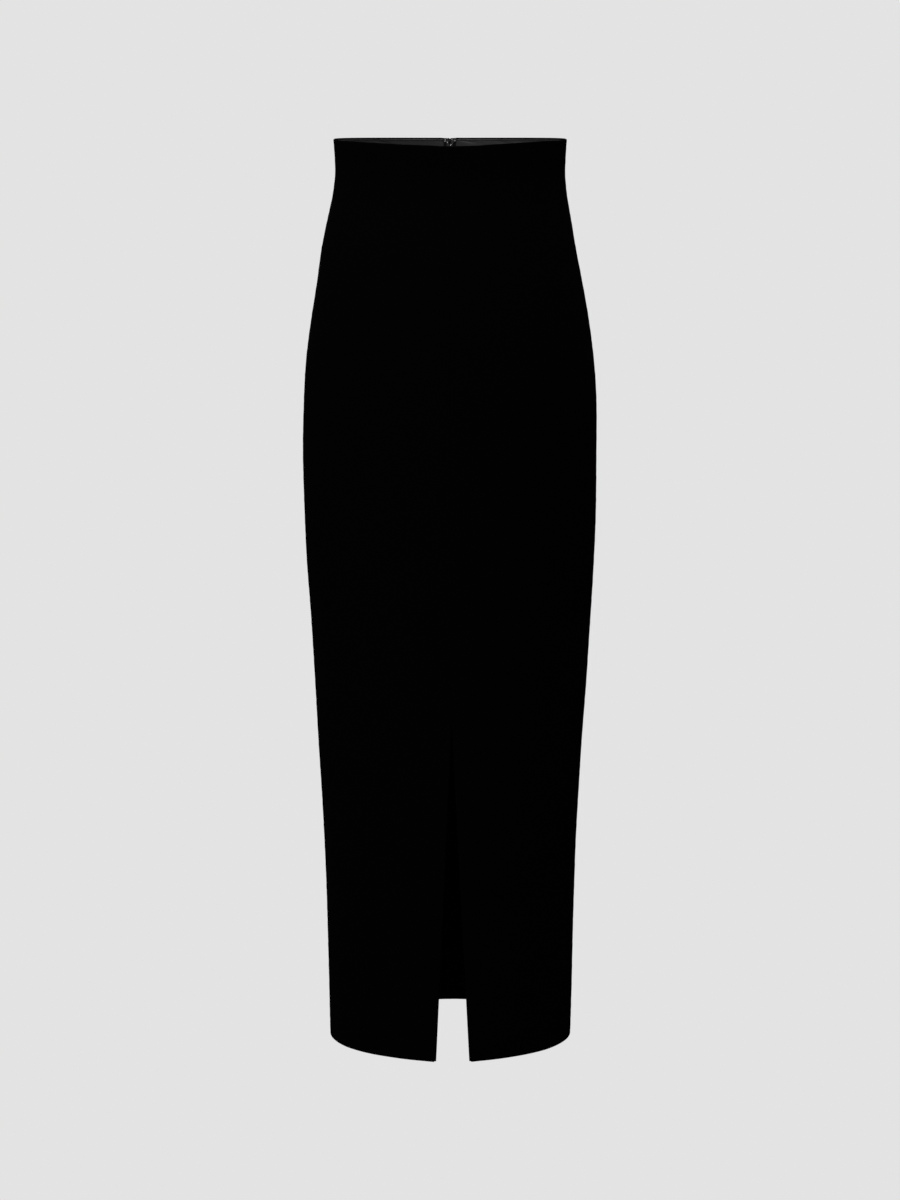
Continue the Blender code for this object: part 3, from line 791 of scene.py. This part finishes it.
TOP_STOP = ((4.65, -3), (5.35, -3.1), (5.55, -1.3), (5.4, 0.7), (4.85, 0.8), (4.6, -0.8))
Stud = namedtuple("Stud", "across up radius")  # a crimp that has worn bright, in mm
STUDS = (
    Stud(-2.9, -3.9, 0.7),
    Stud(2.4, -0.5, 0.8),
    Stud(0.95, -6.8, 0.65),
    Stud(6.0, 0.2, 0.35),
    Stud(5.9, -2.2, 0.35),
)
STUD_OUT = -5.45  # of its middle, out from the cloth
STUD_HEIGHT = 0.45  # half its thickness, as a share of its radius
STUD_SIDES, STUD_RINGS, STUD_END = 16, 9, 1.45  # its flat ends are this many radians from its waist

# The pull, (across, up) from its hinge.
PULL_HALF = (
    (0, 0.45), (1.6, 0.4), (2.15, -0.5), (2.1, -5),
    (2.75, -15.5), (3, -19), (2.1, -21.2), (0, -22),
)
EYE_HALF = ((0, -4.6), (0.8, -4.35), (1.15, -3.4), (1.15, -1.2), (0.9, -0.6), (0, -0.45))
PANEL_HALF = (
    (0, -20.8), (1.4, -20.2), (2, -18.6), (1.75, -14), (1.2, -7.4), (0.7, -6.1), (0, -5.7),
)
WEB_OVERLAP = 1.03  # the web's width, as a share of the rim's opening


def other_side(outline):
    return [(-place[0], *place[1:]) for place in reversed(outline)]


def studs(place):
    """The slider's small crimps, as one mesh of flattened balls."""
    turns = np.linspace(0, math.tau, STUD_SIDES + 1)[:-1]
    turn, rise = np.meshgrid(turns, np.linspace(-STUD_END, STUD_END, STUD_RINGS), indexing="ij")
    waist = np.cos(rise)
    ball = np.stack([np.cos(turn) * waist, STUD_HEIGHT * np.sin(rise), np.sin(turn) * waist], -1)
    points = [ball * s.radius + (s.across, STUD_OUT, s.up) for s in STUDS]
    index = np.arange(len(STUDS) * turn.size).reshape(len(STUDS), *turn.shape)
    after = np.roll(index, -1, axis=1)
    quads = np.stack([index[..., :-1], index[..., 1:], after[..., 1:], after[..., :-1]], -1)
    caps = np.concatenate([index[..., 0], index[:, ::-1, -1]])
    faces = quads.reshape(-1, 4).tolist() + caps.tolist()
    piece = mesh_piece("slider_studs", np.stack(points).reshape(-1, 3) * MM, faces)
    piece.matrix_world = place
    return piece


def slider(dark, bright, painted_shade):
    """The slider: a notched plate with raised rails inside, and a neck, a plate and a bridge outside."""
    place = place_at(SLIDER_DROP)
    tilted = place @ Matrix.Rotation(SLIDER_TILT, 4, "Y")
    blackened = [
        plate("slider_plate", [mirrored(SLIDER_HALF)], -5.35, -4.75, 0.15, tilted),
        plate("slider_rails", [RAIL, other_side(RAIL)], -5.2, -2.9, 0.2, tilted),
        bar("slider_rim_left", RIM_BAR, 0.28, tilted),
        bar("slider_rim_right", other_side(RIM_BAR), 0.28, tilted),
        plate("slider_outer_plate", [mirrored(OUTER_PLATE_HALF)], 0.4, 1.1, 0.15, place),
        bar("slider_bridge", BRIDGE, 0.42, place),
    ]
    # The crown and the neck take a near-black metal colour. It is painted shade for their place deep
    # inside the slider, where little light reaches.
    inner = [
        plate("slider_crown", [mirrored(CROWN_HALF)], -4.6, -2.9, 0.2, tilted),
        plate("slider_neck", [mirrored(NECK_HALF)], -4.3, 0.8, 0.1, place),
    ]
    stops = plate("zip_top_stops", [TOP_STOP, other_side(TOP_STOP)], -3.3, -1.4, 0.35, place)
    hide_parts("zip_slider")
    for group, material in ((blackened, dark), (inner, painted_shade), ((stops, studs(place)), bright)):
        for piece in group:
            ride(piece, material)


def pull_tab(material):
    """The hanging pull: a drop-shaped blade with a raised rim, on an eye that turns in the bridge."""
    low, high = (Vector(corner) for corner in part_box("zip_pull"))
    place = Matrix.Translation((0.0, (low.y + high.y) / 2, high.z - PULL_HALF[0][1] * MM))
    panel_outline = mirrored(PANEL_HALF)
    wider = [(x * WEB_OVERLAP, up) for x, up in panel_outline]
    outlines = [mirrored(PULL_HALF), mirrored(EYE_HALF), panel_outline]
    rim = plate("pull_rim", outlines, -0.45, 0.45, 0.16, place)
    web = plate("pull_web", [wider], -0.22, 0.22, 0.05, place)
    ride(rim, material, body="pull_tab", node="zip_pull")
    ride(web, material, body="pull_tab")


# ------------ materials
WAVE_PERIOD = math.tau / 20  # of a wave texture at scale 1, in metres
TWIST_SCALE = 900.0  # of a thread's twist: ridges 0.35 mm apart
TINT_STOPS = (0.25, 0.75)


def shader_of(name, colour, roughness, metallic=0.0, specular=0.5, sheen=0.0):
    material = bpy.data.materials.new(name)
    material.use_nodes = True
    shader = material.node_tree.nodes["Principled BSDF"]
    for socket, value in (
        ("Base Color", (*colour, 1.0)),
        ("Roughness", roughness),
        ("Metallic", metallic),
        ("Specular IOR Level", specular),
        ("Sheen Weight", sheen),
    ):
        shader.inputs[socket].default_value = value
    return material, material.node_tree, shader


def node(tree, kind, inputs=None, **settings):
    """A new node. inputs maps the name of a socket to a number or to the output that feeds it."""
    made = tree.nodes.new("ShaderNode" + kind)
    for name, value in settings.items():
        setattr(made, name, value)
    for name, value in (inputs or {}).items():
        if isinstance(value, bpy.types.NodeSocket):
            tree.links.new(value, made.inputs[name])
        else:
            made.inputs[name].default_value = value
    return made


def sum_of(tree, *values):
    total = values[0]
    for value in values[1:]:
        total = node(tree, "Math", {0: total, 1: value}, operation="ADD").outputs[0]
    return total


def scaled(tree, value, by):
    return node(tree, "Math", {0: value, 1: by}, operation="MULTIPLY").outputs[0]


def object_coordinates(tree):
    return node(tree, "TexCoord").outputs["Object"]


def cloth_coordinates(tree, across=1.0, down=1.0):
    """The cloth's own UVs, in metres, stretched by a factor each way."""
    uv = node(tree, "UVMap", uv_map=CLOTH_UV).outputs["UV"]
    return node(tree, "Mapping", {"Vector": uv, "Scale": (across, down, 1)}).outputs["Vector"]


def threads(tree, vector, pitch, direction):
    """Bands of threads, pitch apart, across the direction X or Y of the vector."""
    inputs = {"Vector": vector, "Scale": WAVE_PERIOD / pitch, "Distortion": 0.6}
    inputs.update({"Detail": 1.0, "Detail Scale": 1.5})
    return node(tree, "TexWave", inputs, bands_direction=direction).outputs["Fac"]


def noise(tree, vector, grain):
    inputs = {"Vector": vector, "Scale": 1 / grain, "Detail": 2.0}
    return node(tree, "TexNoise", inputs).outputs["Fac"]


def bump(tree, shader, height, distance):
    bumped = node(tree, "Bump", {"Height": height, "Distance": distance, "Strength": 1.0})
    tree.links.new(bumped.outputs["Normal"], shader.inputs["Normal"])


def tinted(tree, shader, value, dark, light):
    """Lets the base colour vary between two colours with value."""
    ramp = node(tree, "ValToRGB", {"Fac": value})
    for stop, place, colour in zip(ramp.color_ramp.elements, TINT_STOPS, (dark, light)):
        stop.position = place
        stop.color = (*colour, 1)
    tree.links.new(ramp.outputs["Color"], shader.inputs["Base Color"])


def crepe():
    """Matte black crepe: a plain weave of hard-twisted yarns, pebbled, with a slight cool cast."""
    material, tree, shader = shader_of("crepe", (0.0032, 0.003, 0.0036), 0.9, specular=0.0, sheen=0.005)
    shader.inputs["Sheen Roughness"].default_value = 0.5
    flat = cloth_coordinates(tree)
    weave = sum_of(
        tree,
        scaled(tree, threads(tree, flat, 0.00042, "X"), 0.6),
        scaled(tree, threads(tree, flat, 0.00046, "Y"), 0.5),
        scaled(tree, noise(tree, flat, 0.0009), 2.6),
        scaled(tree, noise(tree, cloth_coordinates(tree, 1.0, 0.15), 0.003), 1.2),
    )
    bump(tree, shader, weave, 0.00006)
    patches = noise(tree, flat, 0.0016)
    tinted(tree, shader, patches, (0.0026, 0.0024, 0.003), (0.004, 0.0037, 0.0044))
    return material


def satin():
    """Charcoal satin of the facing: long floats down the cloth, and a soft gloss."""
    material, tree, shader = shader_of("satin", (0.042, 0.042, 0.045), 0.4, specular=0.45, sheen=0.05)
    shader.inputs["Anisotropic"].default_value = 0.4
    floats = noise(tree, cloth_coordinates(tree, 1.0, 0.1), 0.00035)
    slubs = noise(tree, cloth_coordinates(tree, 1.0, 0.04), 0.0014)
    bump(tree, shader, sum_of(tree, floats, slubs), 0.00004)
    tinted(tree, shader, slubs, (0.037, 0.037, 0.04), (0.048, 0.048, 0.051))
    return material


def tape_weave():
    material, tree, shader = shader_of("tape_weave", (0.015, 0.015, 0.016), 0.8, specular=0.2, sheen=0.05)
    flat = cloth_coordinates(tree)
    ribs = sum_of(tree, threads(tree, flat, 0.0007, "Y"), threads(tree, flat, 0.00035, "X"))
    bump(tree, shader, ribs, 0.00008)
    tinted(tree, shader, noise(tree, flat, 0.0009), (0.012, 0.012, 0.013), (0.019, 0.019, 0.02))
    return material


def thread():
    """Spun polyester thread, with its twist as fine slanting ridges."""
    material, tree, shader = shader_of("thread", (0.012, 0.012, 0.013), 0.55, specular=0.35, sheen=0.1)
    place = object_coordinates(tree)
    twist = {"Vector": place, "Scale": TWIST_SCALE, "Distortion": 1.0}
    ridges = node(tree, "TexWave", twist, bands_direction="DIAGONAL").outputs["Fac"]
    bump(tree, shader, ridges, 0.00003)
    tinted(tree, shader, noise(tree, place, 0.0008), (0.009, 0.009, 0.01), (0.016, 0.016, 0.017))
    return material


def nylon():
    material, tree, shader = shader_of("nylon", (0.014, 0.014, 0.015), 0.32, specular=0.5)
    place = object_coordinates(tree)
    bump(tree, shader, noise(tree, place, 0.0004), 0.00002)
    tinted(tree, shader, noise(tree, place, 0.0012), (0.011, 0.011, 0.012), (0.018, 0.018, 0.019))
    return material


def nickel(name, colour):
    """Polished nickel, with fine scratches and dulled patches."""
    material, tree, shader = shader_of(name, colour, 0.2, metallic=1.0)
    place = object_coordinates(tree)
    scratches = node(tree, "Mapping", {"Vector": place, "Scale": (1.0, 0.3, 6.0)}).outputs["Vector"]
    bump(tree, shader, noise(tree, scratches, 0.0003), 0.00001)
    wear = {"Value": noise(tree, place, 0.001), "To Min": 0.14, "To Max": 0.3}
    roughness = node(tree, "MapRange", wear).outputs["Result"]
    tree.links.new(roughness, shader.inputs["Roughness"])
    return material


def pale_glow():
    material = bpy.data.materials.new("pale_studio")
    material.use_nodes = True
    tree = material.node_tree
    tree.nodes.clear()
    glow = node(tree, "Emission", {"Color": (PALE, PALE, PALE, 1.0)})
    node(tree, "OutputMaterial", {"Surface": glow.outputs["Emission"]})
    return material


# ------------ studio
PALE = 0.768  # the photograph's even background, as light
AIR = 0.06  # the studio's own faint light
FLOOR_RADIUS, DOME_RADIUS = 12, 14
FLOOR_BELOW_HEM = 0.085
CAMERA_AT = (0.0, -3.884, 0.251)
CAMERA_PITCH = math.radians(10.5315)  # down
CAMERA_LENS = 107.49


def studio():
    material = pale_glow()
    middle = (0, 0, WAIST_DROP - LENGTH - FLOOR_BELOW_HEM)
    bpy.ops.mesh.primitive_circle_add(vertices=64, radius=FLOOR_RADIUS, fill_type="NGON", location=middle)
    floor = bpy.context.object
    floor.name = "floor"
    bpy.ops.mesh.primitive_uv_sphere_add(segments=48, ring_count=24, radius=DOME_RADIUS)
    dome = bpy.context.object
    dome.name = "backdrop"
    for wall in (floor, dome):
        wall.data.materials.append(material)
        wall.visible_diffuse = False
        wall.visible_glossy = False
        wall.visible_shadow = False


def softbox(name, at, aim, size, power, in_reflections=True):
    lamp = bpy.data.lights.new(name, "AREA")
    lamp.shape = "RECTANGLE"
    lamp.size, lamp.size_y = size
    lamp.energy = power
    box = new_object(name, lamp)
    box.location = at
    box.visible_glossy = in_reflections
    box.rotation_euler = (Vector(aim) - Vector(at)).to_track_quat("-Z", "Y").to_euler()


def lights():
    softbox("front", (-1.0, -2.7, 1.9), (0, 0, 0), (1.2, 1.2), 16)
    softbox("key", (-2.4, -1.5, 0.05), (0, 0, 0), (0.8, 0.8), 6)
    softbox("fill", (2.3, -1.6, 0.1), (0, 0, -0.5), (1.0, 2.0), 1.6)
    softbox("top", (0.1, -0.5, 2.2), (0, 0, 0), (1.2, 1.2), 16)
    softbox("back_key", (-0.15, 2.9, 1.15), (0, 0, -0.25), (1.4, 0.7), 270, in_reflections=False)
    softbox("back_glint", (-0.15, 2.9, 1.25), (0, 0, -0.25), (1.4, 0.7), 60)
    world = bpy.data.worlds.new("studio_air")
    world.use_nodes = True
    world.node_tree.nodes["Background"].inputs["Color"].default_value = (AIR, AIR, AIR, 1.0)
    bpy.context.scene.world = world


def camera():
    data = bpy.data.cameras.new("camera")
    data.lens = CAMERA_LENS
    data.sensor_width = 36
    seat = new_object("camera", data)
    seat.location = CAMERA_AT
    seat.rotation_euler = (math.pi / 2 - CAMERA_PITCH, 0, 0)
    bpy.context.scene.camera = seat
    bpy.context.scene.view_settings.view_transform = "Standard"


# ------------ the whole
camera()
studio()
lights()
black = crepe()
sewing = thread()
dark_metal = nickel("blackened_nickel", (0.2, 0.2, 0.21))
bright_metal = nickel("worn_nickel", (0.86, 0.86, 0.88))
tapes = zip_tapes(tape_weave())
for back in (False, True):
    for word, side in SIDES:
        name = ("back_" if back else "front_") + word
        piece, points, usable = panel(name, side, back, black)
        trims = seam_edges(name, side, back, black, sewing) + ([tapes[side]] if back else [])
facings(satin())
stitches(sewing)
coil(nylon())
# The near-black nickel of the slider's crown and neck is painted shade.
slider(dark_metal, bright_metal, nickel("painted_shade_nickel", (0.02, 0.02, 0.022)))
pull_tab(dark_metal)
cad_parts["zip_stop"].material_slots[0].material = dark_metal
